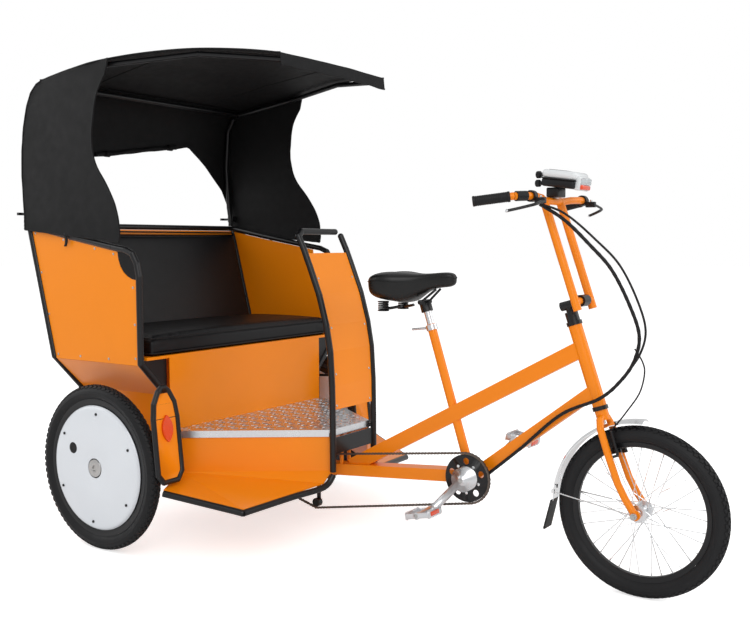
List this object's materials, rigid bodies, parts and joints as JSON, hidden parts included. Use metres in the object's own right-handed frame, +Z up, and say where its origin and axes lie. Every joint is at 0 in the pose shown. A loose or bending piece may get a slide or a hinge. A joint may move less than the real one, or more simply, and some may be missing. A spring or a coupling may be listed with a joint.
{
  "type": "cycle rickshaw",
  "caption": "Three-wheeled pedal rickshaw with a rider's saddle ahead of a canopied bench cabin, a steered front wheel and white-covered rear wheels.",
  "frame": {"origin": "middle of the whole vehicle's length and width, on the ground", "axes": "+X forward, +Y to the rider's left, +Z up"},
  "size_m": [2.427, 1.232, 1.731],
  "materials": {
    "aluminium": "satin",
    "amber_plastic": "gloss",
    "black_cloth": "woven canopy cloth",
    "black_paint": "semi-gloss paint",
    "black_rubber": "matt",
    "black_vinyl": "soft vinyl",
    "chrome": "polished",
    "dark_steel": "oiled",
    "orange_gloss": "gloss paint",
    "orange_paint": "semi-gloss paint",
    "saddle_cover": "smooth cover",
    "steel": "bright",
    "tyre_rubber": "matt",
    "white_cover": "gloss",
    "white_plastic": "gloss"
  },
  "bodies": {
    "chassis": {"main_frame": "orange_paint", "headset": "black_paint", "rear_frame": "orange_paint", "seat_post": "aluminium", "saddle": "saddle_cover", "saddle_springs": "black_paint", "rear_axle": "steel", "chain": "dark_steel", "chain_guide": "black_paint", "floor_plate": "aluminium", "step_right": "orange_gloss", "step_left": "orange_gloss", "step_rails": "black_paint", "seat_base": "orange_gloss", "seat_cushion": "black_vinyl", "backrest": "black_vinyl", "back_panel": "orange_gloss", "side_panel_right": "orange_gloss", "side_panel_left": "orange_gloss", "lower_side_right": "orange_gloss", "lower_side_left": "orange_gloss", "body_tubes": "black_paint", "shield_tube": "black_paint", "shield_panel": "orange_gloss", "wheel_guard_right": "orange_paint", "wheel_guard_left": "orange_paint", "reflectors": "amber_plastic", "canopy_frame": "black_paint", "canopy_roof": "black_cloth", "canopy_side_right": "black_cloth", "canopy_side_left": "black_cloth", "canopy_back": "black_cloth", "cable_bundle": "black_rubber"},
    "steering": {"fork": "orange_paint", "front_axle": "steel", "stem": "black_paint", "handlebar": "orange_paint", "grips": "black_rubber", "brake_levers": "aluminium", "headlamp": "white_plastic", "front_fender": "chrome", "mud_flap": "black_rubber", "front_brake": "black_paint", "brake_cable": "black_rubber"},
    "front_wheel": {"front_tyre": "tyre_rubber", "front_rim": "aluminium"},
    "rear_wheel_right": {"rear_tyre_right": "tyre_rubber", "rear_wheel_right": "white_cover"},
    "rear_wheel_left": {"rear_tyre_left": "tyre_rubber", "rear_wheel_left": "white_cover"},
    "crankset": {"crankset": "aluminium"},
    "pedal_right": {"pedal_right": "aluminium"},
    "pedal_left": {"pedal_left": "aluminium"}
  },
  "joints": [
    {"name": "steering_turn", "type": "hinge", "parent": "chassis", "child": "steering", "pos_m": [0.82459, 0, 0.56069], "axis": [-0.3223, 0, 0.9466], "range_deg": [-40, 40], "deforming": ["cable_bundle"]},
    {"name": "front_wheel_spin", "type": "hinge", "parent": "steering", "child": "front_wheel", "pos_m": [0.9565, 0, 0.257], "axis": [0, 1, 0], "continuous": true},
    {"name": "rear_wheel_right_spin", "type": "hinge", "parent": "chassis", "child": "rear_wheel_right", "pos_m": [-0.7395, -0.589, 0.286], "axis": [0, 1, 0], "continuous": true},
    {"name": "rear_wheel_left_spin", "type": "hinge", "parent": "chassis", "child": "rear_wheel_left", "pos_m": [-0.7395, 0.589, 0.286], "axis": [0, 1, 0], "continuous": true},
    {"name": "crank_turn", "type": "hinge", "parent": "chassis", "child": "crankset", "pos_m": [0.3975, 0, 0.291], "axis": [0, 1, 0], "continuous": true},
    {"name": "pedal_right_spin", "type": "hinge", "parent": "crankset", "child": "pedal_right", "pos_m": [0.2933, -0.14, 0.1831], "axis": [0, 1, 0], "continuous": true},
    {"name": "pedal_left_spin", "type": "hinge", "parent": "crankset", "child": "pedal_left", "pos_m": [0.5017, 0.14, 0.3989], "axis": [0, 1, 0], "continuous": true}
  ]
}
